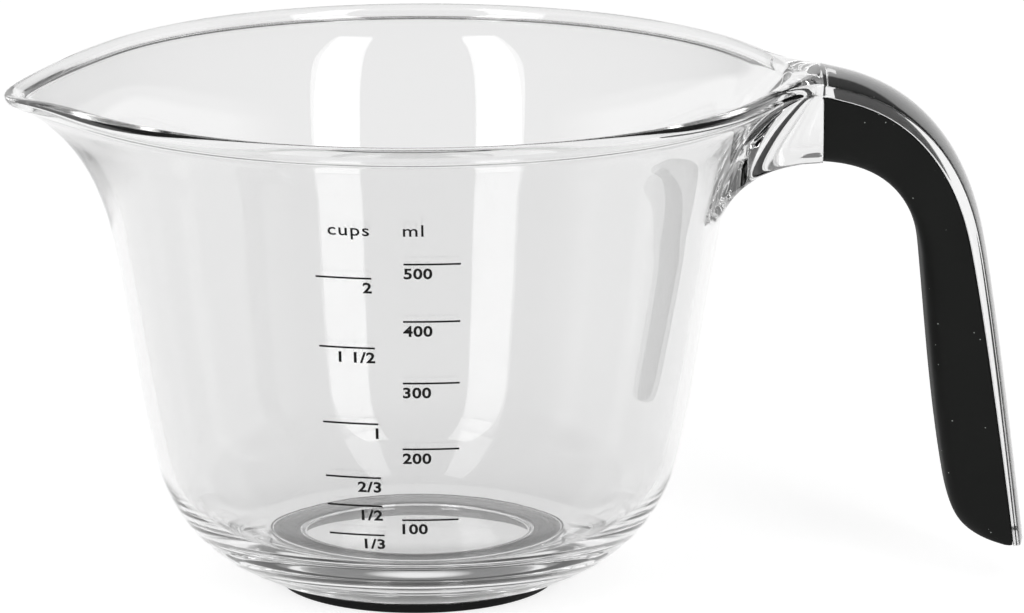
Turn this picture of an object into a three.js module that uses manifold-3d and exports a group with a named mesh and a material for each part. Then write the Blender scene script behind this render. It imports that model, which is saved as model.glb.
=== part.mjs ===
// Clear measuring bowl with a pouring spout, a hooked handle, a soft black grip, a black
// non-slip foot ring and two printed fill scales.
// Millimetres, +Z up, standing on Z = 0. The spout points to -X, the handle to +X, and the
// scales are on the -Y side. The pieces are drawn round the bowl's own axis, and the whole is
// then moved along X so that the origin is under the middle of its overall length.

import * as THREE from 'three';
import { mergeVertices } from 'three/addons/utils/BufferGeometryUtils.js';
import Module from 'manifold-3d';

const wasm = await Module();
wasm.setup();

// ---- driving dimensions ----

const rimRadius = 69.2;          // outermost edge of the round rim
const rimTop = 96.4;             // crest of the rim bead above the table
const beadRadius = 1.7;          // the rim is a round bead
const wall = 2.3;                // moulded wall of the body
const lipWall = 1.5;             // the wall thins towards the rim bead
const floorTop = 9.2;            // inside floor above the table
const floorUnderside = 5.1;      // underside of the floor over the foot ring
const windowUnderside = 2;       // underside of the clear window in the middle of the foot ring
const footRadius = 26.1;         // outer edge of the foot ring on the table
const footOpening = 21.6;        // radius of the clear window inside the foot ring
const footKey = 1.9;             // how far the ring's buried flange reaches past its foot
const spoutReach = 7;            // spout tip past the round rim
const spoutDip = 3.4;            // spout tip below the round rim
const spoutStart = 66;           // height where the spout begins to leave the round body
const strapHalfWidth = 10.5;     // clear strap along the outside of the handle
const strapEdge = 1.9;           // thickness of the strap at its edges
const strapCrown = 1.1;          // how far the middle of the strap stands proud of its edges
const gripHalfWidth = 10.3;
const gripRound = 1;             // rounded edges of the grip
const gripStart = 74.5;          // the soft grip begins here, measured from the bowl's axis
const ribHalfWidth = 1.5;        // stiffening rib under the strap, inside the grip
const ribDepth = 7.5;
const gap = 0.3;                 // clearance between pieces that touch
const aroundSteps = 72;          // facets round the bowl

const millilitreMarks = [100, 200, 300, 400, 500];
const cupMarks = [
  ['third', 1 / 3], ['half', 1 / 2], ['two_thirds', 2 / 3],
  ['one', 1], ['one_and_a_half', 1.5], ['two', 2],
];
const millilitresPerCup = 236.6;
const scaleHeadStart = 17;       // the printed scale counts this much more than the floor gives
const markLength = 10.2;
const markHeight = 0.36;
const markThickness = 0.3;
const cupMarkAngle = -12.2;      // degrees from the middle of the front, towards the spout
const millilitreMarkAngle = 3.7;

// ---- helpers ----

const v2 = (x, y) => new THREE.Vector2(x, y);
const bezier2 = (...points) => new THREE.CubicBezierCurve(...points.map(([x, y]) => v2(x, y)));

// a closed three.js geometry as a solid that can be joined and cut
function toSolid(geometry) {
  const bare = geometry.clone();
  bare.deleteAttribute('normal');
  bare.deleteAttribute('uv');
  const merged = mergeVertices(bare, 1e-4);
  const vertProperties = new Float32Array(merged.attributes.position.array);
  const triVerts = new Uint32Array(merged.index.array);
  return new wasm.Manifold(new wasm.Mesh({ numProp: 3, vertProperties, triVerts }));
}

function toGeometry(solid) {
  const { vertProperties, triVerts } = solid.getMesh();
  const geometry = new THREE.BufferGeometry();
  geometry.setAttribute('position', new THREE.BufferAttribute(new Float32Array(vertProperties), 3));
  geometry.setIndex(new THREE.BufferAttribute(new Uint32Array(triVerts), 1));
  geometry.computeVertexNormals();
  return geometry;
}

// a LatheGeometry turned to stand on Z, facing out
function turned(profile) {
  return new THREE.LatheGeometry(profile, aroundSteps).rotateX(Math.PI / 2);
}

// an outline drawn in the X-Z plane, extruded evenly to both sides of Y = 0
function sideExtrusion(outline, halfWidth, round = 0) {
  const geometry = new THREE.ExtrudeGeometry(new THREE.Shape(outline), {
    depth: 2 * (halfWidth - round),
    bevelEnabled: round > 0,
    bevelThickness: round,
    bevelSize: round,
    bevelOffset: -round,
    bevelSegments: 3,
  });
  return geometry.translate(0, 0, -(halfWidth - round)).rotateX(Math.PI / 2);
}

// ---- the bowl's section, from the foot up the outside, over the rim and down the inside ----

const beadCentre = v2(rimRadius - beadRadius, rimTop - beadRadius);
const outerFoot = bezier2([27.6, 1.2], [38.5, 4.9], [46.1, 12.5], [48.9, 24.5]);
const outerBody = bezier2([48.9, 24.5], [51.5, 36], [54.4, 57], [56.5, 68.5]);
const outerFlare = bezier2([56.5, 68.5], [58.4, 76.5], [60.6, 85.5], [66.6, 92.9]);
const innerFoot = bezier2([27, floorTop], [39, floorTop], [44.6, 15.5], [46.65, 25]);

// a point of an outside curve moved in by the wall's thickness
function inset(curve, t, thickness = wall) {
  const tangent = curve.getTangent(t);
  return curve.getPoint(t).add(v2(-tangent.y, tangent.x).multiplyScalar(thickness));
}

function curvePoints(count, pointAt) {
  return Array.from({ length: count }, (_, i) => pointAt(i / (count - 1)));
}

function beadPoints() {
  const from = THREE.MathUtils.degToRad(-100);
  const to = THREE.MathUtils.degToRad(200);
  return curvePoints(11, (t) => {
    const angle = from + (to - from) * t;
    return v2(Math.cos(angle), Math.sin(angle)).multiplyScalar(beadRadius).add(beadCentre);
  });
}

const insideUpwards = [
  ...curvePoints(8, (t) => innerFoot.getPoint(t)),
  ...curvePoints(5, (t) => inset(outerBody, t)).slice(1),
  ...curvePoints(6, (t) => inset(outerFlare, t, wall + (lipWall - wall) * t * t)).slice(1, -1),
];

const keyRadius = footRadius + footKey + gap;
const keyFloor = 2.1;            // top of the lip that holds the ring's flange
const bowlSection = [
  v2(0, windowUnderside),
  v2(footOpening - gap, windowUnderside),
  v2(footOpening - gap, floorUnderside),
  v2(keyRadius, floorUnderside),
  v2(keyRadius, keyFloor),
  v2(footRadius + gap, keyFloor),
  v2(footRadius + gap, 1.2),
  ...curvePoints(8, (t) => outerFoot.getPoint(t)),
  ...curvePoints(5, (t) => outerBody.getPoint(t)).slice(1),
  ...curvePoints(6, (t) => outerFlare.getPoint(t)).slice(1, -1),
  ...beadPoints(),
  ...insideUpwards.reverse(),
  v2(0, floorTop),
];

// ---- the spout: the round wall is drawn out towards -X and its lip pulled down ----

const spoutHalfAngle = THREE.MathUtils.degToRad(30);
const spoutTipAngle = THREE.MathUtils.degToRad(5.6);   // rounds the point of the spout
const dipHalfAngle = THREE.MathUtils.degToRad(16);

function drawSpout(geometry) {
  const position = geometry.attributes.position;
  const fullStretch = 1 / Math.cos(spoutHalfAngle - spoutTipAngle) - 1;
  for (let i = 0; i < position.count; i += 1) {
    const [x, y, z] = [position.getX(i), position.getY(i), position.getZ(i)];
    const rise = Math.max(0, z - spoutStart) / (beadCentre.y - spoutStart);
    const fromSpout = Math.atan2(y, -x);
    const rounded = Math.hypot(fromSpout, spoutTipAngle);
    const stretch = 1 / Math.cos(Math.max(0, spoutHalfAngle - rounded)) - 1;
    const share = rise ** 2;
    const scale = 1 + (spoutReach / rimRadius) * (stretch / fullStretch) * share;
    const dip = spoutDip / (1 + (fromSpout / dipHalfAngle) ** 2);
    position.setXYZ(i, x * scale, y * scale, z - dip * share);
  }
  return geometry;
}

// ---- the handle's curves, in the X-Z plane ----

const strapArch = [[72, 95.9], [88, 95.2], [100, 86], [103.9, 66.5]];
const strapLeg = [[103.9, 66.5], [105.9, 56.5], [109, 34], [112.2, 8.6]];
const gripArch = bezier2([gripStart, 81.4], [84.4, 81], [91.5, 76.5], [93.1, 64.5]);
const gripLeg = bezier2([93.1, 64.5], [94.7, 49.6], [95.7, 34], [98.6, 18.5]);
const gripHeel = bezier2([98.6, 18.5], [99.8, 11.5], [103.5, 9.2], [110, 8.4]);

// the strap's outer edge line, from the bowl's rim over the arch and down the leg
function strapPath(startX) {
  const to3 = (points) => points.map(([x, z]) => new THREE.Vector3(x, 0, z));
  const path = new THREE.CurvePath();
  path.add(new THREE.LineCurve3(new THREE.Vector3(startX, 0, strapArch[0][1] + 0.2), to3(strapArch)[0]));
  path.add(new THREE.CubicBezierCurve3(...to3(strapArch)));
  path.add(new THREE.CubicBezierCurve3(...to3(strapLeg)));
  return path;
}

// a section swept along part of the strap; its +y side faces the grip
function sweptAlongStrap(section, startX, endShare, steps) {
  const path = strapPath(startX);
  const points = curvePoints(steps + 1, (t) => path.getPointAt(t * endShare));
  const route = new THREE.CatmullRomCurve3(points);
  return new THREE.ExtrudeGeometry(section, { steps, extrudePath: route });
}

function strapSection() {
  const crown = curvePoints(9, (t) => {
    const across = 2 * t - 1;
    return v2(across * strapHalfWidth, -strapCrown * (1 - across ** 2));
  });
  return new THREE.Shape([...crown, v2(strapHalfWidth, strapEdge), v2(-strapHalfWidth, strapEdge)]);
}

function ribSection(clearance) {
  const side = ribHalfWidth + clearance;
  const top = strapEdge - 0.6;
  const bottom = ribDepth + strapEdge + clearance;
  return new THREE.Shape([v2(-side, top), v2(side, top), v2(side, bottom), v2(-side, bottom)]);
}

// the clear block between the rim and the grip: wide at the rim, filleted down to the strap
function neckSolid() {
  const neckEnd = gripStart - gap;
  const neckRoot = 50;           // inside the wall, where the cavity cuts it away
  const underside = bezier2([55.8, 68], [58.4, 76], [63.5, 81], [neckEnd, 81.4]);
  const side = sideExtrusion([
    ...underside.getPoints(8),
    v2(neckEnd, strapArch[0][1]),
    v2(neckRoot, strapArch[0][1]),
    v2(neckRoot, 68),
  ], 2 * strapHalfWidth);
  const fillet = curvePoints(8, (t) => v2(57.5 + 15.5 * t, strapHalfWidth + 8.5 * (1 - t) ** 2));
  const planOutline = [
    v2(neckRoot, -fillet[0].y),
    ...fillet.map((p) => v2(p.x, -p.y)),
    v2(neckEnd, -strapHalfWidth),
    v2(neckEnd, strapHalfWidth),
    ...fillet.toReversed(),
    v2(neckRoot, fillet[0].y),
  ];
  const plan = new THREE.ExtrudeGeometry(new THREE.Shape(planOutline), {
    depth: rimTop - spoutStart,
    bevelEnabled: false,
  });
  plan.translate(0, 0, spoutStart);
  return toSolid(side).intersect(toSolid(plan));
}

// everything inside the bowl, used to keep the neck out of it
function cavitySolid() {
  const profile = [
    v2(0, floorTop),
    ...[...insideUpwards].sort((a, b) => a.y - b.y || a.x - b.x),
    v2(beadCentre.x, rimTop + 3),
    v2(0, rimTop + 3),
  ];
  return toSolid(drawSpout(turned(profile)));
}

// ---- the pieces ----

const clearPlastic = { color: '#e9ebec', roughness: 0.05, metalness: 0, transparent: true, opacity: 0.35 };
const softBlack = { color: '#1f201f', roughness: 0.7, metalness: 0 };
const blackInk = { color: '#161616', roughness: 0.5, metalness: 0 };

function mesh(name, geometry, finish) {
  const piece = new THREE.Mesh(geometry, new THREE.MeshStandardMaterial(finish));
  piece.name = name;
  return piece;
}

// the shell is one moulding: bowl, neck, strap and the rib under the strap
function bowlShell() {
  const bowl = toSolid(drawSpout(turned(bowlSection)));
  const strap = toSolid(sweptAlongStrap(strapSection(), 64, 1, 44));
  const rib = toSolid(sweptAlongStrap(ribSection(0), 70, 0.9, 36));
  const handle = neckSolid().add(strap).add(rib).subtract(cavitySolid());
  return mesh('bowl_shell', toGeometry(bowl.add(handle)), clearPlastic);
}

// the grip fills the hook under the strap, with a slot for the rib
function handleGrip() {
  const path = strapPath(64);
  const depth = strapEdge + gap;
  const underStrap = [];
  const outlineSteps = 40;
  for (let i = 0; i < outlineSteps; i += 1) {
    const point = path.getPointAt(i / outlineSteps);
    const tangent = path.getTangentAt(i / outlineSteps);
    const x = point.x + depth * tangent.z;
    const z = point.z - depth * tangent.x;
    if (x > gripStart + 1) underStrap.push(v2(x, z));
  }
  const outline = [
    ...gripArch.getPoints(9),
    ...gripLeg.getPoints(7).slice(1),
    ...gripHeel.getPoints(6).slice(1),
    ...underStrap.toReversed(),
    v2(gripStart, strapArch[0][1] - depth),
  ];
  const slot = toSolid(sweptAlongStrap(ribSection(gap), 68, 0.905, 36));
  const grip = toSolid(sideExtrusion(outline, gripHalfWidth, gripRound)).subtract(slot);
  return mesh('handle_grip', toGeometry(grip), softBlack);
}

// the foot ring stands on the table and is keyed into the bowl by a buried flange
function baseRing() {
  const ringTop = floorUnderside - gap;
  const flange = keyFloor + gap;
  const chamfer = 0.4;
  const section = [
    v2(footOpening + chamfer, 0),
    v2(footRadius - chamfer, 0),
    v2(footRadius, chamfer),
    v2(footRadius, flange),
    v2(footRadius + footKey, flange),
    v2(footRadius + footKey, ringTop),
    v2(footOpening, ringTop),
    v2(footOpening, chamfer),
  ];
  return mesh('base_ring', turned([...section, section[0].clone()]), softBlack);
}

// inside radius at each height, from the section above the floor
function fillHeight(millilitres) {
  const target = (millilitres - scaleHeadStart) * 1000;
  const inside = [...insideUpwards].sort((a, b) => a.y - b.y || a.x - b.x);
  let volume = 0;
  for (let i = 1; i < inside.length; i += 1) {
    const [low, high] = [inside[i - 1], inside[i]];
    const slice = Math.PI * (high.y - low.y) * (low.x ** 2 + low.x * high.x + high.x ** 2) / 3;
    if (volume + slice > target) return low.y + (high.y - low.y) * (target - volume) / slice;
    volume += slice;
  }
  throw new Error('the bowl does not hold ' + millilitres + ' ml');
}

function outerRadiusAt(height) {
  const outside = [...outerFoot.getPoints(40), ...outerBody.getPoints(60), ...outerFlare.getPoints(40)];
  const above = outside.findIndex((p) => p.y >= height);
  const [low, high] = [outside[above - 1], outside[above]];
  return low.x + (high.x - low.x) * (height - low.y) / (high.y - low.y);
}

// one printed line: a thin bar that follows the wall round the front
function scaleMark(name, millilitres, angle) {
  const height = fillHeight(millilitres);
  const inner = outerRadiusAt(height + markHeight / 2) + gap;
  const middle = THREE.MathUtils.degToRad(angle - 90);
  const half = markLength / 2 / inner;
  const bar = new THREE.Shape();
  bar.absarc(0, 0, inner + markThickness, middle - half, middle + half, false);
  bar.absarc(0, 0, inner, middle + half, middle - half, true);
  const geometry = new THREE.ExtrudeGeometry(bar, {
    depth: markHeight,
    bevelEnabled: false,
    curveSegments: 6,
  });
  return mesh(name, geometry.translate(0, 0, height - markHeight / 2), blackInk);
}

const measuringBowl = new THREE.Group();
measuringBowl.add(bowlShell(), handleGrip(), baseRing());
for (const millilitres of millilitreMarks) {
  const name = 'scale_line_' + millilitres + '_ml';
  measuringBowl.add(scaleMark(name, millilitres, millilitreMarkAngle));
}
for (const [word, cups] of cupMarks) {
  const name = 'scale_line_' + word + '_cup';
  measuringBowl.add(scaleMark(name, cups * millilitresPerCup, cupMarkAngle));
}


// stand the object with its overall length centred on the origin
const extent = new THREE.Box3().setFromObject(measuringBowl);
measuringBowl.position.x = -(extent.min.x + extent.max.x) / 2;

export default measuringBowl;
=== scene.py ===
"""Clear measuring bowl: a moulded clear shell, a soft black grip, a foot ring and printed scales."""

import math

import bmesh
import bpy
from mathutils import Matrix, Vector


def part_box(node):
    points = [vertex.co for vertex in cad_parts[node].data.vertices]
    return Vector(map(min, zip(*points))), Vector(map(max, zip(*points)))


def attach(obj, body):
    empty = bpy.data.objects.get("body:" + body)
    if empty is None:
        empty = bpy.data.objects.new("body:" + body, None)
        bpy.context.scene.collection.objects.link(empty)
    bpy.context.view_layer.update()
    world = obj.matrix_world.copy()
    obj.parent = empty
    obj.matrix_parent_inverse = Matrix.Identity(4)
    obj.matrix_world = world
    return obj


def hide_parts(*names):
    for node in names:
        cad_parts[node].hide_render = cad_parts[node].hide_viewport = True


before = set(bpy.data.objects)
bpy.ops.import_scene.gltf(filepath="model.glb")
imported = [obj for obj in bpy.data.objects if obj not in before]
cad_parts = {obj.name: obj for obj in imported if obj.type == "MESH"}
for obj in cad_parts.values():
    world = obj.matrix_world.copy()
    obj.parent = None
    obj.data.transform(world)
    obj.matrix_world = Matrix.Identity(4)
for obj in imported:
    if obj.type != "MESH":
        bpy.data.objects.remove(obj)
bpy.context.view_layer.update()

bl_info = {
    "name": "Clear Measuring Bowl",
    "version": (1, 0, 0),
    "blender": (4, 5, 0),
    "location": "3D View > Sidebar > Measuring Bowl",
    "description": "Builds a clear measuring bowl with a soft grip, a foot ring and printed scales",
    "category": "Add Mesh",
}

MM = 0.001
BODY = "root"
LIGHT_BOUNCES = 24      # light crosses the thick clear foot many times
RING_LOW, RING_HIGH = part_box("base_ring")
GRIP_LOW, GRIP_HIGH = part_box("handle_grip")
RIM_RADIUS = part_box("bowl_shell")[1].y
AXIS_X = (RING_LOW.x + RING_HIGH.x) / 2


# ---------------------------------------------------------------- sizes and colours

def length(name, description, default):
    """A size in metres that the panel shows in the scene's units."""
    return bpy.props.FloatProperty(
        name=name, description=description, default=default, unit="LENGTH", precision=5)


def angle(name, description, degrees):
    """An angle, given here in degrees."""
    return bpy.props.FloatProperty(
        name=name, description=description, default=math.radians(degrees), subtype="ANGLE")


def hex_colour(name, description, default):
    """A colour as an sRGB hex value."""
    return bpy.props.StringProperty(name=name, description=description, default=default)


class BowlSizes(bpy.types.PropertyGroup):
    """Sizes of the clear shell and its foot ring, measured round the bowl's own axis"""
    rim_radius: length("Rim radius", "Outermost edge of the round rim", RIM_RADIUS)
    rim_top: length("Rim top", "Crest of the rim bead above the table", 96.4 * MM)
    bead_radius: length("Bead radius", "Radius of the round bead on the rim", 1.7 * MM)
    wall: length("Wall", "Moulded wall thickness of the body", 2.3 * MM)
    lip_wall: length("Lip wall", "Wall thickness just under the rim bead", 1.45 * MM)
    floor_top: length("Floor top", "Inside floor above the table", 9.2 * MM)
    floor_underside: length("Floor underside", "Underside of the floor inside the foot", 5.1 * MM)
    window_underside: length(
        "Window underside", "Underside of the clear window inside the foot ring", 2.0 * MM)
    spout_reach: length("Spout reach", "How far the spout's tip passes the round rim", 7 * MM)
    spout_dip: length("Spout dip", "How far the spout's tip lies below the round rim", 3.4 * MM)
    neck_reach: length("Neck reach", "How far the rim is drawn out into the neck", 2.6 * MM)
    spout_start: length("Spout start", "Height where the spout leaves the round body", 66 * MM)
    foot_radius: length("Foot radius", "Outer edge of the foot ring on the table", 26.1 * MM)
    foot_opening: length("Foot opening", "Radius of the clear window in the foot ring", 21.6 * MM)


class HandleSizes(bpy.types.PropertyGroup):
    """Sizes of the strap, the neck and the soft grip"""
    strap_half_width: length("Strap half width", "Half the width of the clear strap", 10.5 * MM)
    strap_thick: length("Strap thickness", "Edge thickness of the strap over the arch", 2.4 * MM)
    strap_thin: length("Strap end thickness", "Edge thickness of the strap at its end", 1.3 * MM)
    strap_crown: length("Strap crown", "How far the strap's middle stands proud", 1.1 * MM)
    grip_half_width: length("Grip half width", "Half the width of the soft grip", GRIP_HIGH.y)
    grip_start: length("Grip start", "Where the grip begins, from the bowl's axis",
                       GRIP_LOW.x - AXIS_X)
    finger_round: length("Finger rounding", "Rounding of the grip's edges under the fingers", 3.6 * MM)


class BowlColours(bpy.types.PropertyGroup):
    """Colours of the materials, as sRGB hex values"""
    clear_plastic: hex_colour("Clear plastic", "Tint of the clear moulded shell", "#EFEFEF")
    soft_grip: hex_colour("Soft grip", "Colour of the grip's elastomer", "#111211")
    foot_ring: hex_colour("Foot ring", "Colour of the foot ring's elastomer", "#0C0C0C")
    ink: hex_colour("Ink", "Colour of the printed scales", "#0C0C0C")
    dust: hex_colour("Dust", "Colour of the fine dust on the grip", "#8D918E")
    floor: hex_colour("Floor", "Colour of the studio floor", "#BEBEBE")


class StudioSizes(bpy.types.PropertyGroup):
    """Camera, lights and floor of the studio"""
    camera_distance: length("Camera distance", "Level distance from the bowl's axis", 1120.2 * MM)
    camera_side: length("Camera side shift", "The camera's place across the view", -0.7 * MM)
    camera_height: length("Camera height", "Height of the lens above the table", 321.2 * MM)
    aim_height: length("Aim height", "Height that the camera looks at", 51.75 * MM)
    focal_length: bpy.props.FloatProperty(
        name="Focal length", description="Lens on a 36 mm wide sensor", default=218.0, min=1.0)
    strip_angle: angle("Strip light angle", "How far each strip stands to the side", 33)
    strip_distance: length("Strip light distance", "From the bowl to each strip light", 1.5)
    strip_width: length("Strip light width", "Width of each strip light", 0.5)
    strip_height: length("Strip light height", "Height of each strip light", 3.0)
    strip_power: bpy.props.FloatProperty(
        name="Strip light power", description="Power of each strip light", default=15.0)
    backdrop_level: bpy.props.FloatProperty(
        name="Backdrop level", description="Glow of the lit floor and backdrop", default=0.8)
    room_level: bpy.props.FloatProperty(
        name="Room level", description="Brightness of the room behind the camera", default=0.2)


# ---------------------------------------------------------------- curves of the section

def bezier(points, t):
    """A point of a cubic curve with four control points, given as plain (x, y) pairs."""
    a, b, c, d = (Vector(p) for p in points)
    s = 1 - t
    return a * s ** 3 + b * (3 * s * s * t) + c * (3 * s * t * t) + d * t ** 3


def bezier_tangent(points, t):
    """The direction of that curve, of length one."""
    a, b, c, d = (Vector(p) for p in points)
    s = 1 - t
    return ((b - a) * (s * s) + (c - b) * (2 * s * t) + (d - c) * (t * t)).normalized()


# outside of the body from the foot to the bead, and inside of the floor's corner, in mm
OUTER_FOOT = ((27.0, 1.8), (38.5, 4.9), (46.1, 12.5), (48.9, 24.5))
OUTER_BODY = ((48.9, 24.5), (51.5, 36), (54.4, 57), (56.5, 68.5))
OUTER_FLARE = ((56.5, 68.5), (58.4, 76.5), (60.6, 85.5), (66.4, 93.0))
INNER_FOOT = ((27, 9.2), (39, 9.2), (44.6, 15.5), (46.65, 25))

# the handle in the X-Z plane, in mm from the bowl's axis and above the table
STRAP_ARCH = ((72, 95.9), (88, 95.2), (100, 86), (103.9, 66.5))
STRAP_LEG = ((103.9, 66.5), (105.9, 56.5), (109, 34), (112.2, 8.6))
GRIP_ARCH = ((74.5, 80.8), (84.2, 80.4), (91.2, 76.1), (93.1, 64.5))
GRIP_LEG = ((93.1, 64.5), (94.7, 49.6), (95.7, 34), (98.6, 18.5))
GRIP_HEEL = ((98.6, 18.5), (99.8, 11.5), (103.5, 9.2), (110, 8.4))


def steps(count):
    """Even shares from 0 to 1, both included."""
    return [i / (count - 1) for i in range(count)]


def inset(points, t, wall):
    """A point a wall's thickness inside a curve of the outside."""
    tangent = bezier_tangent(points, t)
    return bezier(points, t) + Vector((-tangent.y, tangent.x)) * wall


def outer_radius(height):
    """Outside radius of the round body at a height, both in mm."""
    low, high = 0.0, 1.0
    curve = next(c for c in (OUTER_FOOT, OUTER_BODY, OUTER_FLARE) if height <= c[3][1])
    for _ in range(30):
        middle = (low + high) / 2
        if bezier(curve, middle).y < height:
            low = middle
        else:
            high = middle
    return bezier(curve, low).x


# ---------------------------------------------------------------- mesh helpers

def new_piece(name, bm, levels=0):
    """A finished mesh object, smooth, with its subdivision left as a modifier."""
    bmesh.ops.recalc_face_normals(bm, faces=bm.faces)
    mesh = bpy.data.meshes.new(name)
    bm.to_mesh(mesh)
    bm.free()
    piece = bpy.data.objects.new(name, mesh)
    bpy.context.scene.collection.objects.link(piece)
    for polygon in mesh.polygons:
        polygon.use_smooth = True
    if levels:
        smooth = piece.modifiers.new("Subdivision", "SUBSURF")
        smooth.levels = levels
        smooth.render_levels = levels
    return piece


def bridge(bm, ring_a, ring_b, closed=True):
    """Quads between two rows of vertices of the same length."""
    count = len(ring_a)
    last = count if closed else count - 1
    for i in range(last):
        j = (i + 1) % count
        bm.faces.new((ring_a[i], ring_a[j], ring_b[j], ring_b[i]))


def crease(bm, pairs, amount):
    """Keeps edges between pairs of vertices sharp when the surface is subdivided."""
    layer = bm.edges.layers.float.get("crease_edge") or bm.edges.layers.float.new("crease_edge")
    for a, b in pairs:
        edge = bm.edges.get((a, b))
        if edge is None:
            raise ValueError("no edge to crease")
        edge[layer] = amount


def around(ring):
    """The pairs of neighbours round a closed row."""
    return [(ring[i], ring[(i + 1) % len(ring)]) for i in range(len(ring))]


# ---------------------------------------------------------------- the clear shell

COLUMNS = 72
NECK_COLUMNS = 4        # the neck springs from this many columns on each side of the handle
ACROSS = 2 * NECK_COLUMNS + 1
BEAD_ANGLES = (-102, -78, -54, -30, -6, 18, 42, 66, 90, 114, 138, 162, 182, 200)
NECK_SIDE = 14          # rows of the wall that the neck's side takes up
STRAP_SIDE = 8          # rows of the neck's side that carry on as the strap's edge
EDGE = STRAP_SIDE - 1
LIP_LOW = 1.8            # underside of the shell's lip that holds the foot ring, in mm
LIP_TOP = 2.7            # top of that lip, where the ring's flange rests
FLANGE_REACH = 1.95     # how far the ring's flange reaches past its foot, in mm
LIP_GAP = 0.05          # between the shell's lip and the ring's foot, in mm
SPOUT_SIDES = 30        # half the angle over which the rim is drawn out to the spout, in degrees
SPOUT_TIP = 5.6         # how far the spout's tip is rounded, in degrees
NECK_SIDES = 24         # the same two angles where the rim is drawn out into the neck
NECK_TIP = 5
DIP_HALVED = 16         # degrees from the spout's tip where half of its dip is left
STRAP_TOP = 96.0        # height of the strap's outer line where it leaves the neck, in mm
STRAP_SPREAD = math.radians(72)     # the strap's columns stand as on an arc, closer at its edges


def section_rows(sizes):
    """The shell's section in mm as (radius, height, crease), up the outside and down the inside."""
    underside = sizes.floor_underside / MM
    floor = sizes.floor_top / MM
    wall = sizes.wall / MM
    bead = sizes.bead_radius / MM
    centre = Vector((sizes.rim_radius / MM - bead, sizes.rim_top / MM - bead))
    foot = sizes.foot_radius / MM
    key = foot + FLANGE_REACH
    window = sizes.foot_opening / MM
    boss = sizes.window_underside / MM
    rows = [(r, boss, 0) for r in (7, 14, 19)]
    rows += [(window, boss, 1), (window, underside, 1), (25, underside, 0)]
    rows += [(key, underside, 1), (key, LIP_TOP, 1), (foot + LIP_GAP, LIP_TOP, 1)]
    rows += [(foot + LIP_GAP, LIP_LOW, 1), (*OUTER_FOOT[0], 0.6)]
    rows += [(*bezier(OUTER_FOOT, t), 0) for t in steps(10)[1:]]
    rows += [(*bezier(OUTER_BODY, t), 0) for t in steps(7)[1:]]
    rows += [(*bezier(OUTER_FLARE, t), 0) for t in steps(7)[1:-1]]
    for degrees in BEAD_ANGLES:
        turn = math.radians(degrees)
        rows.append((centre.x + bead * math.cos(turn), centre.y + bead * math.sin(turn), 0))
    lip = sizes.lip_wall / MM
    for t in reversed(steps(8)[1:-1]):
        rows.append((*inset(OUTER_FLARE, t, wall + (lip - wall) * t * t), 0))
    rows += [(*inset(OUTER_BODY, t, wall), 0) for t in reversed(steps(7)[1:])]
    rows += [(*bezier(INNER_FOOT, t), 0) for t in reversed(steps(9))]
    rows += [(r, floor, 0) for r in (20, 13, 6)]
    return rows


def drawn_share(off, half, tip):
    """How far a round rim is drawn out at an angle from a spout with straight sides, from 0 to 1."""
    half = math.radians(half)
    tip = math.radians(tip)
    full = 1 / math.cos(half - tip) - 1
    return (1 / math.cos(max(0.0, half - math.hypot(off, tip))) - 1) / full


def spouted(sizes, radius, turn, height):
    """A point of the round body drawn out into the spout and into the neck, all in mm."""
    start = sizes.spout_start / MM
    top = (sizes.rim_top - sizes.bead_radius) / MM
    share = (max(0.0, height - start) / (top - start)) ** 2
    x = radius * math.cos(turn)
    y = radius * math.sin(turn)
    off = math.atan2(y, -x)
    reach = sizes.spout_reach * drawn_share(off, SPOUT_SIDES, SPOUT_TIP)
    reach += sizes.neck_reach * drawn_share(math.atan2(y, x), NECK_SIDES, NECK_TIP)
    scale = 1 + reach / sizes.rim_radius * share
    dip = sizes.spout_dip / MM / (1 + (off / math.radians(DIP_HALVED)) ** 2)
    return Vector((x * scale, y * scale, height - dip * share))


def placed(point):
    """A point in mm round the bowl's axis, as a point of the frame in metres."""
    return Vector((point[0] * MM + AXIS_X, point[1] * MM, point[2] * MM))


def strap_stations(start_x, count):
    """Points and directions along the strap's outer edge line, evenly spaced, in mm."""
    fine = [Vector((start_x, STRAP_TOP))]
    for curve in (STRAP_ARCH, STRAP_LEG):
        fine += [bezier(curve, t) for t in steps(120) if bezier(curve, t).x > start_x + 0.05]
    run = [0.0]
    for a, b in zip(fine, fine[1:]):
        run.append(run[-1] + (b - a).length)
    stations = []
    for share in steps(count):
        target = share * run[-1]
        i = max(1, next(k for k, r in enumerate(run) if r >= target - 1e-9))
        part = (target - run[i - 1]) / max(run[i] - run[i - 1], 1e-9)
        point = fine[i - 1].lerp(fine[i], part)
        before = fine[max(0, i - 3)]
        after = fine[min(len(fine) - 1, i + 2)]
        stations.append((share, point, (after - before).normalized()))
    return stations


def strap_thickness(sizes, share):
    """Edge thickness of the strap in mm: full over the arch, thinner down the leg."""
    full = 0.25                     # the arch, as a share of the strap's length
    ease = min(1.0, max(0.0, (share - full) / (1 - full)))
    return (sizes.strap_thick + (sizes.strap_thin - sizes.strap_thick) * ease) / MM


def across_shares():
    """Where the columns of the strap stand across its width, from -1 to 1."""
    return [math.sin(STRAP_SPREAD * j / NECK_COLUMNS) / math.sin(STRAP_SPREAD)
            for j in range(-NECK_COLUMNS, NECK_COLUMNS + 1)]


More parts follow.
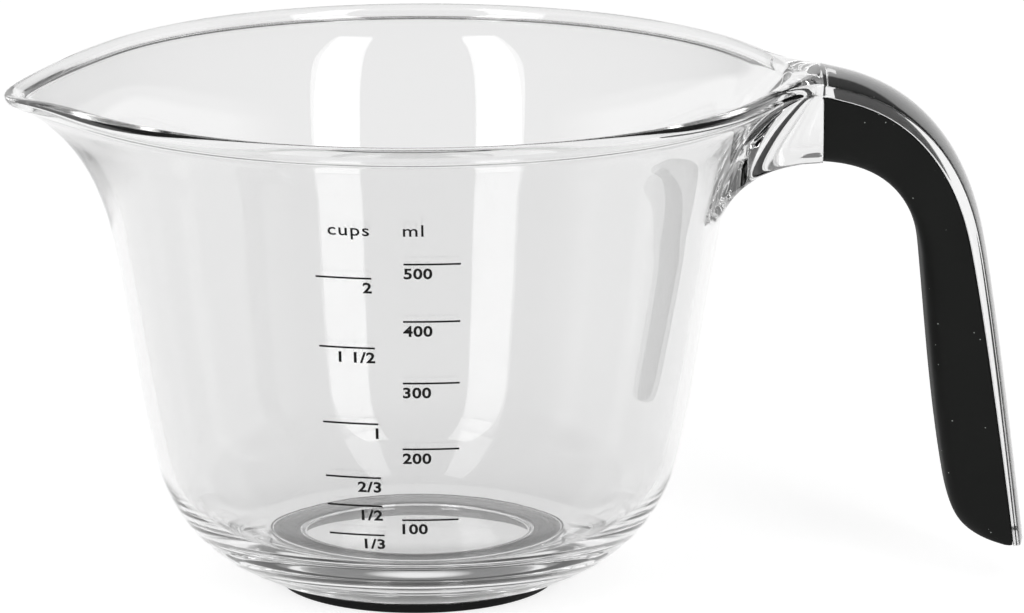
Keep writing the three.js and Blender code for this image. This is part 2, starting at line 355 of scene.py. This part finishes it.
def strap_section(sizes, share, point, tangent):
    """One closed row of strap vertices: over the crown, down one edge, back under, up the other."""
    half = sizes.strap_half_width / MM
    crown = sizes.strap_crown / MM
    thick = strap_thickness(sizes, share)
    inward = Vector((tangent.y, -tangent.x))
    corner = 0.22
    top = [(u * (half - corner), -crown * (1 - u * u)) for u in across_shares()]
    edge = [(half, corner + (thick - 0.45) * t) for t in steps(EDGE)]
    under = [(u * (half - 0.12), thick) for u in reversed(across_shares())]
    loop = top + edge + under + [(-u, v) for u, v in reversed(edge)]
    return [
        Vector((point.x + inward.x * v, u, point.y + inward.y * v))
        for u, v in loop
    ]


def neck_end_section(sizes, strap_loop):
    """The neck's last row: the strap's top and edges, carried down to the neck's underside."""
    half = sizes.strap_half_width / MM
    x = strap_loop[0].x
    low = GRIP_ARCH[0][1] + 0.05
    corner = strap_loop[ACROSS + EDGE]
    side = strap_loop[ACROSS:ACROSS + EDGE] + [corner]
    drop = NECK_SIDE - STRAP_SIDE
    for k in range(1, drop - 1):
        share = k / (drop - 1)
        side.append(Vector((x, half, corner.z + (low + 1.6 - corner.z) * share)))
    side.append(Vector((x, half - 0.25, low + 0.7)))
    side.append(Vector((x, half - 1.3, low)))
    bottom = [Vector((x, u * (half - 1.3), low)) for u in reversed(across_shares()[:-1])]
    other = [Vector((p.x, -p.y, p.z)) for p in reversed(side[:-1])]
    return strap_loop[:ACROSS] + side + bottom + other


def hermite(a, tangent_a, b, tangent_b, t):
    """A point of the curve that leaves a and arrives at b along the two tangents."""
    t2 = t * t
    t3 = t2 * t
    return (a * (2 * t3 - 3 * t2 + 1) + tangent_a * (t3 - 2 * t2 + t)
            + b * (3 * t2 - 2 * t3) + tangent_b * (t3 - t2))


def neck_rows(wall_loop, wall_normals, wall_shares, end_loop, count):
    """Rows between the wall and the neck's end that leave the wall along its own surface."""
    rows = []
    for t in steps(count + 2)[1:-1]:
        row = []
        for start, normal, share, end in zip(wall_loop, wall_normals, wall_shares, end_loop):
            across, down = share
            reach = end - start
            along = (reach - normal * reach.dot(normal)).normalized()
            level = Vector((start.y, -start.x, 0)).normalized() * math.copysign(1, across)
            round_side = 0.75 * abs(across) ** 3 * (1 - down ** 3)
            along = along.lerp(level, round_side).normalized()
            leave = along * reach.length * (0.85 + 0.3 * down ** 3)
            arrive = Vector((1, 0, 0)) * reach.length * (0.8 + 0.6 * down ** 3)
            row.append(hermite(start, leave, end, arrive, t))
        rows.append(row)
    return rows


def build_shell(sizes, handle):
    """Bowl, neck and strap as one closed cage of quads."""
    bm = bmesh.new()
    section = section_rows(sizes)
    turns = [2 * math.pi * j / COLUMNS for j in range(COLUMNS)]
    grid = []
    for radius, height, _ in section:
        grid.append([bm.verts.new(placed(spouted(sizes, radius, a, height))) for a in turns])
    under_centre = bm.verts.new(placed((0, 0, sizes.window_underside / MM)))
    floor_centre = bm.verts.new(placed((0, 0, sizes.floor_top / MM)))
    crest = next(i for i, row in enumerate(section) if abs(row[1] - sizes.rim_top / MM) < 1e-4)
    first = crest - NECK_SIDE
    columns = range(-NECK_COLUMNS, NECK_COLUMNS)
    for i, (low, high) in enumerate(zip(grid, grid[1:])):
        for j in range(COLUMNS):
            signed = j if j < COLUMNS / 2 else j - COLUMNS
            if first <= i < crest and signed in columns:
                continue
            k = (j + 1) % COLUMNS
            bm.faces.new((low[j], low[k], high[k], high[j]))
    for j in range(COLUMNS):
        k = (j + 1) % COLUMNS
        bm.faces.new((grid[0][k], grid[0][j], under_centre))
        bm.faces.new((grid[-1][j], grid[-1][k], floor_centre))
    for row, (_, _, amount) in zip(grid, section):
        if amount:
            crease(bm, around(row), amount)

    add_handle(bm, sizes, handle, grid, section, crest)
    for i in range(first + 1, crest):
        for j in range(-NECK_COLUMNS + 1, NECK_COLUMNS):
            bm.verts.remove(grid[i][j % COLUMNS])
    return new_piece("clear_shell", bm, 2)


def section_normal(section, i, turn):
    """Outward normal of the round body at a row of the section."""
    before = Vector(section[i - 1][:2])
    after = Vector(section[i + 1][:2])
    run = (after - before).normalized()
    return Vector((run.y * math.cos(turn), run.y * math.sin(turn), -run.x))


def add_handle(bm, sizes, handle, grid, section, crest):
    """The neck from the open patch of the wall to the grip, and the strap beyond it."""
    n = NECK_COLUMNS
    path = [(crest, j) for j in range(-n, n + 1)]
    path += [(crest - k, n) for k in range(1, NECK_SIDE + 1)]
    path += [(crest - NECK_SIDE, j) for j in range(n - 1, -n - 1, -1)]
    path += [(crest - k, -n) for k in range(NECK_SIDE - 1, 0, -1)]
    wall_verts = [grid[i][j % COLUMNS] for i, j in path]
    wall_loop = [(v.co - Vector((AXIS_X, 0, 0))) / MM for v in wall_verts]
    turn = 2 * math.pi / COLUMNS
    normals = [section_normal(section, i, j * turn) for i, j in path]
    shares = [(j / n, (crest - i) / NECK_SIDE) for i, j in path]

    stations = strap_stations(handle.grip_start / MM - 0.1, 34)
    strap_loops = [strap_section(handle, *station) for station in stations]
    middle_x = strap_loops[0][n].x
    strap_loops[0] = [Vector((middle_x, p.y, p.z)) for p in strap_loops[0]]
    end_loop = neck_end_section(handle, strap_loops[0])

    previous = wall_verts
    for row in neck_rows(wall_loop, normals, shares, end_loop, 8):
        current = [bm.verts.new(placed(p)) for p in row]
        bridge(bm, previous, current)
        previous = current
    end_verts = [bm.verts.new(placed(p)) for p in end_loop]
    bridge(bm, previous, end_verts)
    strap_first = add_neck_end(bm, end_verts, strap_loops[0])

    previous = strap_first
    for loop in strap_loops[1:]:
        current = [bm.verts.new(placed(p)) for p in loop]
        bridge(bm, previous, current)
        previous = current
    close_strap(bm, previous)


def add_neck_end(bm, end_verts, first_loop):
    """The flat face where the grip meets the neck; returns the strap's first row."""
    count = len(end_verts)
    last = ACROSS - 1
    right_corner = end_verts[last + STRAP_SIDE]
    left_corner = end_verts[count - STRAP_SIDE]
    inside = first_loop[ACROSS + EDGE + 1:2 * ACROSS + EDGE - 1]
    under = [right_corner] + [bm.verts.new(placed(p)) for p in inside] + [left_corner]
    upper = under
    for k in range(STRAP_SIDE + 1, NECK_SIDE + 1):
        right = end_verts[last + k]
        left = end_verts[count - k]
        if k == NECK_SIDE:
            lower = end_verts[last + k:last + k + ACROSS]
        else:
            parts = [(1 - u) / 2 for u in reversed(across_shares())][1:-1]
            lower = [right] + [bm.verts.new(right.co.lerp(left.co, s)) for s in parts] + [left]
        bridge(bm, upper, lower, closed=False)
        upper = lower
    border = [end_verts[last + k] for k in range(STRAP_SIDE, NECK_SIDE)]
    border += upper
    border += [end_verts[count - k] for k in range(NECK_SIDE - 1, STRAP_SIDE - 1, -1)]
    crease(bm, list(zip(border, border[1:])), 0.85)
    crease(bm, list(zip(under, under[1:])), 0.9)
    return end_verts[:ACROSS + EDGE] + under + end_verts[count - EDGE:]


def close_strap(bm, ring):
    """A grid of quads over the strap's end."""
    right = ring[ACROSS:ACROSS + EDGE]
    bottom = list(reversed(ring[ACROSS + EDGE:2 * ACROSS + EDGE]))
    left = list(reversed(ring[2 * ACROSS + EDGE:]))
    top = ring[:ACROSS]
    rows = [top]
    for k in range(EDGE):
        share = (k + 1) / (EDGE + 1)
        inner = [bm.verts.new(top[j].co.lerp(bottom[j].co, share)) for j in range(1, ACROSS - 1)]
        rows.append([left[k]] + inner + [right[k]])
    rows.append(bottom)
    for upper, lower in zip(rows, rows[1:]):
        bridge(bm, upper, lower, closed=False)
    crease(bm, around(ring), 0.7)


# ---------------------------------------------------------------- the soft grip

ARCH_END = 0.42         # where the grip's arch and its leg end, as shares of its length
LEG_END = 0.84


def grip_inner_point(share):
    """The finger side of the grip, from the neck round to the heel, in mm."""
    if share < ARCH_END:
        return bezier(GRIP_ARCH, share / ARCH_END)
    if share < LEG_END:
        return bezier(GRIP_LEG, (share - ARCH_END) / (LEG_END - ARCH_END))
    return bezier(GRIP_HEEL, (share - LEG_END) / (1 - LEG_END))


def grip_section(handle, outer, inner):
    """One closed row of the grip: flat under the strap, flat sides, rounded under the fingers."""
    half = handle.grip_half_width / MM
    reach = inner - outer
    depth = reach.length
    inward = reach.normalized()
    soft = min(handle.finger_round / MM, depth * 0.42)
    loop = [(0.0, 0.0), (half * 0.5, 0.0), (half - 0.5, 0.0), (half - 0.08, 0.1), (half, 0.6)]
    loop += [(half, depth * 0.3), (half, depth - soft)]
    for degrees in (22, 45, 68):
        turn = math.radians(degrees)
        across = half - soft + soft * math.cos(turn)
        loop.append((across, depth - soft + soft * math.sin(turn)))
    loop += [(half - soft, depth), (half * 0.36, depth + 0.12), (0.0, depth + 0.16)]
    mirrored = [(-u, v) for u, v in reversed(loop[1:-1])]
    return [
        Vector((outer.x + inward.x * v, u, outer.y + inward.y * v))
        for u, v in loop + mirrored
    ]


def build_grip(handle):
    """The grip as rows of vertices from the neck to the heel, closed at both ends."""
    bm = bmesh.new()
    sink = 0.06                     # the grip is bonded to the strap, a hair into its underside
    rings = []
    stations = strap_stations(handle.grip_start / MM, 46)
    for share, point, tangent in stations:
        depth = strap_thickness(handle, share) - sink
        outer = point + Vector((tangent.y, -tangent.x)) * depth
        inner = grip_inner_point(share)
        if share == 0:
            outer = Vector((inner.x, outer.y))
        if share == 1:
            outer = outer.lerp(inner, 0.1)
        row = grip_section(handle, outer, inner)
        rings.append([bm.verts.new(placed(p)) for p in row])
    for a, b in zip(rings, rings[1:]):
        bridge(bm, a, b)
    for ring in (rings[0], rings[-1]):
        cap_ring(bm, ring)
        crease(bm, around(ring), 0.8)
    return new_piece("soft_grip", bm, 2)


def cap_ring(bm, ring):
    """Closes a mirrored ring with quads between its two halves."""
    half = len(ring) // 2
    near = ring[1:half]
    far = list(reversed(ring[half + 1:]))
    bm.faces.new((ring[0], near[0], far[0]))
    for a, b, c, d in zip(near, near[1:], far[1:], far):
        bm.faces.new((a, b, c, d))
    bm.faces.new((near[-1], ring[half], far[-1]))


# ---------------------------------------------------------------- the foot ring

def build_ring(sizes):
    """The foot ring: a chamfered foot and a grooved flange held in the shell's underside."""
    bm = bmesh.new()
    foot = sizes.foot_radius / MM
    air = 0.08                      # thin film of air between the ring and the clear shell
    opening = sizes.foot_opening / MM + air
    top = sizes.floor_underside / MM - air
    key = foot + FLANGE_REACH - air
    rest = LIP_TOP + air
    groove = top - 0.3
    inner_groove = opening + 1.3
    section = [
        (opening + 0.35, 0.0), (foot - 0.25, 0.0), (foot, 0.25), (foot, 0.9), (foot, LIP_LOW),
        (foot, rest), (key, rest), (key, top - 0.15), (key - 0.15, top),
    ]
    for middle in (foot, inner_groove):
        section += [(middle + 0.2, top), (middle + 0.1, groove)]
        section += [(middle - 0.1, groove), (middle - 0.2, top)]
    section += [(opening, top), (opening, 0.4)]
    rings = []
    turns = [2 * math.pi * j / COLUMNS for j in range(COLUMNS)]
    for radius, height in section:
        row = [bm.verts.new(placed((radius * math.cos(a), radius * math.sin(a), height)))
               for a in turns]
        rings.append(row)
    for a, b in zip(rings, rings[1:] + rings[:1]):
        bridge(bm, a, b)
    for row in rings:
        crease(bm, around(row), 0.75)
    return new_piece("foot_ring", bm, 2)


# ---------------------------------------------------------------- printed scales

INK_RAISE = 0.012       # the ink's outer face above the wall, in mm
INK_DEPTH = 0.05        # how deep the ink solid is, most of it sunk in the wall
LINE_HALF = 0.17        # half the thickness of a printed line, in mm
NUMERAL_SIZE = 2.75     # the numerals are as tall as they hang under their line, in mm
NUMERAL_WEIGHT = 0.078  # how much the bold strokes are fattened, in mm
HEADING_SIZE = 3.2
HEADING_WEIGHT = 0.03
HEADING_HEIGHT = 78.6   # the unit names' feet above the table, in mm
LETTER_STRETCH = 1.2    # the printed letters are wider than the built-in typeface


def on_wall(turn, height, raised):
    """A point on the outside of the wall; turn is from the middle of the front, raised in mm."""
    radius = outer_radius(height) + raised
    return placed((radius * math.sin(turn), -radius * math.cos(turn), height))


def build_lines(name, nodes):
    """Printed graduation lines that lie on the wall where the frame's line nodes stand."""
    bm = bmesh.new()
    for node in nodes:
        low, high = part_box(node)
        height = (low.z + high.z) / 2 / MM
        reach = [math.atan2(x - AXIS_X, -y) for x, y in line_ends(node)]
        rings = []
        for share in steps(13):
            turn = reach[0] + (reach[1] - reach[0]) * share
            corners = [
                (-LINE_HALF, INK_RAISE), (LINE_HALF, INK_RAISE),
                (LINE_HALF, INK_RAISE - INK_DEPTH), (-LINE_HALF, INK_RAISE - INK_DEPTH),
            ]
            rings.append([bm.verts.new(on_wall(turn, height + up, out)) for up, out in corners])
        for a, b in zip(rings, rings[1:]):
            bridge(bm, a, b)
        bm.faces.new(rings[0])
        bm.faces.new(list(reversed(rings[-1])))
    return new_piece(name, bm)


def line_ends(node):
    """Left and right end of a line node, seen from above."""
    points = [v.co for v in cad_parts[node].data.vertices]
    left = min(points, key=lambda p: p.x)
    right = max(points, key=lambda p: p.x)
    return (left.x, left.y), (right.x, right.y)


def letter_mesh(words, size, weight, spacing):
    """Flat letters as a solid mesh, from the plain built-in typeface, in mm."""
    curve = bpy.data.curves.new("letters", "FONT")
    curve.body = words
    curve.size = size
    curve.offset = weight
    curve.space_character = spacing
    curve.extrude = INK_DEPTH / 2
    curve.resolution_u = 4
    holder = bpy.data.objects.new("letters", curve)
    bpy.context.scene.collection.objects.link(holder)
    bpy.context.view_layer.update()
    evaluated = holder.evaluated_get(bpy.context.evaluated_depsgraph_get())
    mesh = bpy.data.meshes.new_from_object(evaluated)
    bpy.data.objects.remove(holder)
    bpy.data.curves.remove(curve)
    return mesh


def add_label(bm, words, anchor, height, align, size, weight, spacing):
    """Letters bent on to the wall, with their left or right end at a turn and their foot at a height."""
    mesh = letter_mesh(words, size, weight, spacing)
    low = min(v.co.x for v in mesh.vertices)
    high = max(v.co.x for v in mesh.vertices)
    start = low if align == "left" else high
    for vertex in mesh.vertices:
        z = height + vertex.co.y
        turn = anchor + (vertex.co.x - start) * LETTER_STRETCH / outer_radius(z)
        raised = INK_RAISE - INK_DEPTH / 2 + vertex.co.z
        vertex.co = on_wall(turn, z, raised)
    bm.from_mesh(mesh)
    bpy.data.meshes.remove(mesh)


MILLILITRE_NODES = {str(n): f"scale_line_{n}_ml" for n in (100, 200, 300, 400, 500)}
CUP_NODES = {
    "1/3": "scale_line_third_cup",
    "1/2": "scale_line_half_cup",
    "2/3": "scale_line_two_thirds_cup",
    "1": "scale_line_one_cup",
    "1 1/2": "scale_line_one_and_a_half_cup",
    "2": "scale_line_two_cup",
}


def build_labels(name, nodes, align, heading):
    """Numerals under each line and the unit's name above the column."""
    bm = bmesh.new()
    for words, node in nodes.items():
        low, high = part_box(node)
        x, y = line_ends(node)[0 if align == "left" else 1]
        turn = math.atan2(x - AXIS_X, -y)
        foot = (low.z + high.z) / 2 / MM - NUMERAL_SIZE
        add_label(bm, words, turn, foot, align, NUMERAL_SIZE, NUMERAL_WEIGHT, 1.06)
    add_label(bm, heading, turn, HEADING_HEIGHT, align, HEADING_SIZE, HEADING_WEIGHT, 1.12)
    bmesh.ops.remove_doubles(bm, verts=bm.verts, dist=1e-7)
    piece = new_piece(name, bm)
    for polygon in piece.data.polygons:
        polygon.use_smooth = False
    return piece


# ---------------------------------------------------------------- materials

def linear(hex_value):
    """An sRGB hex colour as linear RGBA."""
    values = [int(hex_value[i:i + 2], 16) / 255 for i in (1, 3, 5)]
    return [v / 12.92 if v <= 0.04045 else ((v + 0.055) / 1.055) ** 2.4 for v in values] + [1.0]


def add_node(tree, kind, settings=None, **inputs):
    """One node with its settings; inputs are values, or sockets to link from."""
    node = tree.nodes.new(kind)
    for key, value in (settings or {}).items():
        setattr(node, key, value)
    for key, value in inputs.items():
        socket = node.inputs[key.replace("_", " ")]
        if isinstance(value, bpy.types.NodeSocket):
            tree.links.new(value, socket)
        else:
            socket.default_value = value
    return node


def new_material(name):
    """A material with an empty tree and its shader already on the output."""
    material = bpy.data.materials.new(name)
    material.use_nodes = True
    tree = material.node_tree
    tree.nodes.clear()
    output = add_node(tree, "ShaderNodeOutputMaterial")
    shader = add_node(tree, "ShaderNodeBsdfPrincipled")
    tree.links.new(shader.outputs["BSDF"], output.inputs["Surface"])
    return material, tree, shader


def moulded_clear_plastic(colours):
    """Clear styrene plastic from a polished mould: very clear, with faint flow waves in its faces."""
    material, tree, shader = new_material("moulded_clear_plastic")
    shader.inputs["Base Color"].default_value = linear(colours.clear_plastic)
    shader.inputs["Roughness"].default_value = 0.012
    shader.inputs["IOR"].default_value = 1.57
    shader.inputs["Transmission Weight"].default_value = 1.0
    place = add_node(tree, "ShaderNodeTexCoord").outputs["Object"]
    waves = add_node(tree, "ShaderNodeTexNoise", Vector=place, Scale=1 / (18 * MM), Detail=1.0)
    bump = add_node(
        tree, "ShaderNodeBump", Strength=0.05, Distance=0.2 * MM, Height=waves.outputs["Fac"])
    tree.links.new(bump.outputs["Normal"], shader.inputs["Normal"])
    return material


def soft_touch_elastomer(colours):
    """Black thermoplastic rubber from a spark-eroded mould: matte, finely grained, dusty."""
    material, tree, shader = new_material("soft_touch_elastomer")
    shader.inputs["Roughness"].default_value = 0.6
    shader.inputs["Specular IOR Level"].default_value = 0.12
    place = add_node(tree, "ShaderNodeTexCoord").outputs["Object"]
    grain = add_node(tree, "ShaderNodeTexNoise", Vector=place, Scale=1 / (0.35 * MM), Detail=2.0)
    cloud = add_node(tree, "ShaderNodeTexNoise", Vector=place, Scale=1 / (14 * MM), Detail=2.0)
    specks = add_node(tree, "ShaderNodeTexVoronoi", Vector=place, Scale=1 / (2.2 * MM))
    near = add_node(tree, "ShaderNodeMath", {"operation": "LESS_THAN"})
    near.inputs[1].default_value = 0.055
    tree.links.new(specks.outputs["Distance"], near.inputs[0])
    dark = linear(colours.soft_grip)
    tint = add_node(tree, "ShaderNodeValToRGB", Fac=cloud.outputs["Fac"])
    tint.color_ramp.elements[0].position = 0.3
    tint.color_ramp.elements[0].color = [c * 0.85 for c in dark[:3]] + [1.0]
    tint.color_ramp.elements[1].position = 0.75
    tint.color_ramp.elements[1].color = [c * 1.2 for c in dark[:3]] + [1.0]
    dusty = add_node(tree, "ShaderNodeMix", {"data_type": "RGBA"})
    tree.links.new(near.outputs["Value"], dusty.inputs["Factor"])
    tree.links.new(tint.outputs["Color"], dusty.inputs["A"])
    dusty.inputs["B"].default_value = linear(colours.dust)
    tree.links.new(dusty.outputs["Result"], shader.inputs["Base Color"])
    bump = add_node(
        tree, "ShaderNodeBump", Strength=0.25, Distance=0.05 * MM, Height=grain.outputs["Fac"])
    tree.links.new(bump.outputs["Normal"], shader.inputs["Normal"])
    return material


def moulded_foot_rubber(colours):
    """The foot ring's elastomer: black, plain moulded, a little glossier than the grip."""
    material, tree, shader = new_material("moulded_foot_rubber")
    shader.inputs["Roughness"].default_value = 0.5
    shader.inputs["Specular IOR Level"].default_value = 0.12
    place = add_node(tree, "ShaderNodeTexCoord").outputs["Object"]
    grain = add_node(tree, "ShaderNodeTexNoise", Vector=place, Scale=1 / (0.5 * MM), Detail=2.0)
    dark = linear(colours.foot_ring)
    tint = add_node(tree, "ShaderNodeValToRGB", Fac=grain.outputs["Fac"])
    tint.color_ramp.elements[0].color = [c * 0.8 for c in dark[:3]] + [1.0]
    tint.color_ramp.elements[1].color = [c * 1.25 for c in dark[:3]] + [1.0]
    tree.links.new(tint.outputs["Color"], shader.inputs["Base Color"])
    bump = add_node(
        tree, "ShaderNodeBump", Strength=0.2, Distance=0.05 * MM, Height=grain.outputs["Fac"])
    tree.links.new(bump.outputs["Normal"], shader.inputs["Normal"])
    return material


def pad_printed_ink(colours):
    """Black pad-printed ink: a thin satin film, very slightly uneven in density."""
    material, tree, shader = new_material("pad_printed_ink")
    shader.inputs["Roughness"].default_value = 0.55
    shader.inputs["Specular IOR Level"].default_value = 0.15
    place = add_node(tree, "ShaderNodeTexCoord").outputs["Object"]
    film = add_node(tree, "ShaderNodeTexNoise", Vector=place, Scale=1 / (0.6 * MM), Detail=3.0)
    dark = linear(colours.ink)
    tint = add_node(tree, "ShaderNodeValToRGB", Fac=film.outputs["Fac"])
    tint.color_ramp.elements[0].color = [c * 0.8 for c in dark[:3]] + [1.0]
    tint.color_ramp.elements[1].color = [c * 1.5 for c in dark[:3]] + [1.0]
    tree.links.new(tint.outputs["Color"], shader.inputs["Base Color"])
    return material


def studio_floor(colours):
    """Matte white table top, lit evenly enough to stay white."""
    material, tree, shader = new_material("studio_floor")
    shader.inputs["Base Color"].default_value = linear(colours.floor)
    shader.inputs["Roughness"].default_value = 0.9
    shader.inputs["Specular IOR Level"].default_value = 0.1
    shader.inputs["Emission Color"].default_value = (1, 1, 1, 1)
    shader.inputs["Emission Strength"].default_value = bpy.context.scene.studio_sizes.backdrop_level
    return material


def material_of(builder):
    """Each material is made once and then shared."""
    colours = bpy.context.scene.bowl_colours
    return bpy.data.materials.get(builder.__name__) or builder(colours)


def finish_piece(piece, builder, nodes):
    """Gives a piece its material, its body and the frame nodes that it stands for."""
    piece.data.materials.clear()
    piece.data.materials.append(material_of(builder))
    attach(piece, BODY)
    if nodes:
        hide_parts(*nodes)


# ---------------------------------------------------------------- studio

def aim(piece, target):
    """Turns a camera or a light to look at a point."""
    piece.rotation_mode = "QUATERNION"
    piece.rotation_quaternion = (target - piece.location).to_track_quat("-Z", "Y")


def add_camera(studio):
    """The camera in front of the bowl, a little above it."""
    camera = bpy.data.objects.new("camera", bpy.data.cameras.new("camera"))
    bpy.context.scene.collection.objects.link(camera)
    camera.data.sensor_width = 36
    camera.data.lens = studio.focal_length
    camera.data.clip_start = 0.01
    side = studio.camera_side
    camera.location = (side, -studio.camera_distance, studio.camera_height)
    aim(camera, Vector((side, 0, studio.aim_height)))
    bpy.context.scene.camera = camera


def add_light(name, location, size, power, target):
    """One soft rectangular light, not seen by the camera itself."""
    light = bpy.data.lights.new(name, "AREA")
    light.shape = "RECTANGLE"
    light.size, light.size_y = size
    light.energy = power
    holder = bpy.data.objects.new(name, light)
    bpy.context.scene.collection.objects.link(holder)
    holder.location = location
    holder.visible_camera = False
    aim(holder, target)


def add_lights(studio):
    """Two tall strips beside the camera give the upright highlights on the wall."""
    middle = Vector((AXIS_X, 0, studio.strip_height / 2))
    for side, name in ((-1, "left_strip"), (1, "right_strip")):
        turn = side * studio.strip_angle
        away = Vector((math.sin(turn), -math.cos(turn), 0)) * studio.strip_distance
        size = (studio.strip_width, studio.strip_height)
        add_light(name, middle + away, size, studio.strip_power, middle)


def add_room(studio):
    """A dim room with a low white backdrop round the table, open only behind the camera."""
    world = bpy.data.worlds.new("studio_room")
    world.use_nodes = True
    bpy.context.scene.world = world
    tree = world.node_tree
    tree.nodes.clear()
    output = add_node(tree, "ShaderNodeOutputWorld")
    direction = add_node(tree, "ShaderNodeTexCoord").outputs["Generated"]
    parts = add_node(tree, "ShaderNodeSeparateXYZ", Vector=direction)
    round_about = add_node(tree, "ShaderNodeMapRange", Value=parts.outputs["Y"],
                           From_Min=-0.6, From_Max=-0.2)
    low = add_node(tree, "ShaderNodeMapRange", Value=parts.outputs["Z"],
                   From_Min=0.36, From_Max=0.32)
    backdrop = add_node(tree, "ShaderNodeMath", {"operation": "MULTIPLY"})
    tree.links.new(round_about.outputs["Result"], backdrop.inputs[0])
    tree.links.new(low.outputs["Result"], backdrop.inputs[1])
    level = add_node(tree, "ShaderNodeMapRange", Value=backdrop.outputs["Value"],
                     To_Min=studio.room_level)
    background = add_node(tree, "ShaderNodeBackground", Strength=level.outputs["Result"])
    background.inputs["Color"].default_value = (1, 1, 1, 1)
    tree.links.new(background.outputs["Background"], output.inputs["Surface"])


def add_floor():
    """A wide white table top with a rounded far edge."""
    bm = bmesh.new()
    half = 6.0
    round_edge = 0.1
    profile = [(-half, 0.0), (-1.0, 0.0), (1.0, 0.0), (half - round_edge, 0.0)]
    profile += [(half, -0.4 * round_edge), (half, -round_edge)]
    rows = [[bm.verts.new((x, y, z)) for x in (-half, -1.0, 1.0, half)] for y, z in profile]
    for a, b in zip(rows, rows[1:]):
        bridge(bm, a, b, closed=False)
    floor = new_piece("studio_floor", bm)
    floor.data.materials.append(material_of(studio_floor))


# ---------------------------------------------------------------- operators and panel

class MESH_OT_clear_shell(bpy.types.Operator):
    """Builds the clear shell: bowl, spout, neck and strap in one"""
    bl_idname = "measuring_bowl.clear_shell"
    bl_label = "Clear shell"

    def execute(self, context):
        piece = build_shell(context.scene.bowl_sizes, context.scene.handle_sizes)
        finish_piece(piece, moulded_clear_plastic, ["bowl_shell"])
        return {"FINISHED"}


class MESH_OT_soft_grip(bpy.types.Operator):
    """Builds the soft grip under the strap"""
    bl_idname = "measuring_bowl.soft_grip"
    bl_label = "Soft grip"

    def execute(self, context):
        piece = build_grip(context.scene.handle_sizes)
        finish_piece(piece, soft_touch_elastomer, ["handle_grip"])
        return {"FINISHED"}


class MESH_OT_foot_ring(bpy.types.Operator):
    """Builds the non-slip foot ring"""
    bl_idname = "measuring_bowl.foot_ring"
    bl_label = "Foot ring"

    def execute(self, context):
        piece = build_ring(context.scene.bowl_sizes)
        finish_piece(piece, moulded_foot_rubber, ["base_ring"])
        return {"FINISHED"}


class MESH_OT_printed_scales(bpy.types.Operator):
    """Prints the two scales on the wall: lines, numerals and unit names"""
    bl_idname = "measuring_bowl.printed_scales"
    bl_label = "Printed scales"

    def execute(self, context):
        millilitres = list(MILLILITRE_NODES.values())
        cups = list(CUP_NODES.values())
        lines = build_lines("millilitre_lines", millilitres)
        finish_piece(lines, pad_printed_ink, millilitres)
        lines = build_lines("cup_lines", cups)
        finish_piece(lines, pad_printed_ink, cups)
        labels = build_labels("millilitre_numerals", MILLILITRE_NODES, "left", "ml")
        finish_piece(labels, pad_printed_ink, [])
        labels = build_labels("cup_numerals", CUP_NODES, "right", "cups")
        finish_piece(labels, pad_printed_ink, [])
        return {"FINISHED"}


class MESH_OT_bowl_studio(bpy.types.Operator):
    """Sets up the plain floor, the soft lights and the camera"""
    bl_idname = "measuring_bowl.studio"
    bl_label = "Studio"

    def execute(self, context):
        add_floor()
        add_lights(context.scene.studio_sizes)
        add_room(context.scene.studio_sizes)
        add_camera(context.scene.studio_sizes)
        context.scene.view_settings.view_transform = "Standard"
        context.scene.cycles.max_bounces = LIGHT_BOUNCES
        context.scene.cycles.transmission_bounces = LIGHT_BOUNCES
        context.scene.cycles.glossy_bounces = LIGHT_BOUNCES
        return {"FINISHED"}


OPERATORS = (
    MESH_OT_clear_shell, MESH_OT_soft_grip, MESH_OT_foot_ring, MESH_OT_printed_scales,
    MESH_OT_bowl_studio,
)
SETTINGS = {
    "bowl_sizes": BowlSizes,
    "handle_sizes": HandleSizes,
    "bowl_colours": BowlColours,
    "studio_sizes": StudioSizes,
}


class VIEW3D_PT_measuring_bowl(bpy.types.Panel):
    """Lists the sizes, the colours and the pieces to build"""
    bl_label = "Measuring Bowl"
    bl_space_type = "VIEW_3D"
    bl_region_type = "UI"
    bl_category = "Measuring Bowl"

    def draw(self, context):
        for name, group in SETTINGS.items():
            box = self.layout.box()
            for setting in group.__annotations__:
                box.prop(getattr(context.scene, name), setting)
        for operator in OPERATORS:
            self.layout.operator(operator.bl_idname)


def register():
    for group in SETTINGS.values():
        bpy.utils.register_class(group)
    for name, group in SETTINGS.items():
        setattr(bpy.types.Scene, name, bpy.props.PointerProperty(type=group))
    for operator in OPERATORS:
        bpy.utils.register_class(operator)
    bpy.utils.register_class(VIEW3D_PT_measuring_bowl)


def unregister():
    bpy.utils.unregister_class(VIEW3D_PT_measuring_bowl)
    for operator in reversed(OPERATORS):
        bpy.utils.unregister_class(operator)
    for name, group in SETTINGS.items():
        delattr(bpy.types.Scene, name)
        bpy.utils.unregister_class(group)


def main():
    register()
    bpy.ops.measuring_bowl.studio()
    bpy.ops.measuring_bowl.clear_shell()
    bpy.ops.measuring_bowl.soft_grip()
    bpy.ops.measuring_bowl.foot_ring()
    bpy.ops.measuring_bowl.printed_scales()


if __name__ == "__main__":
    main()
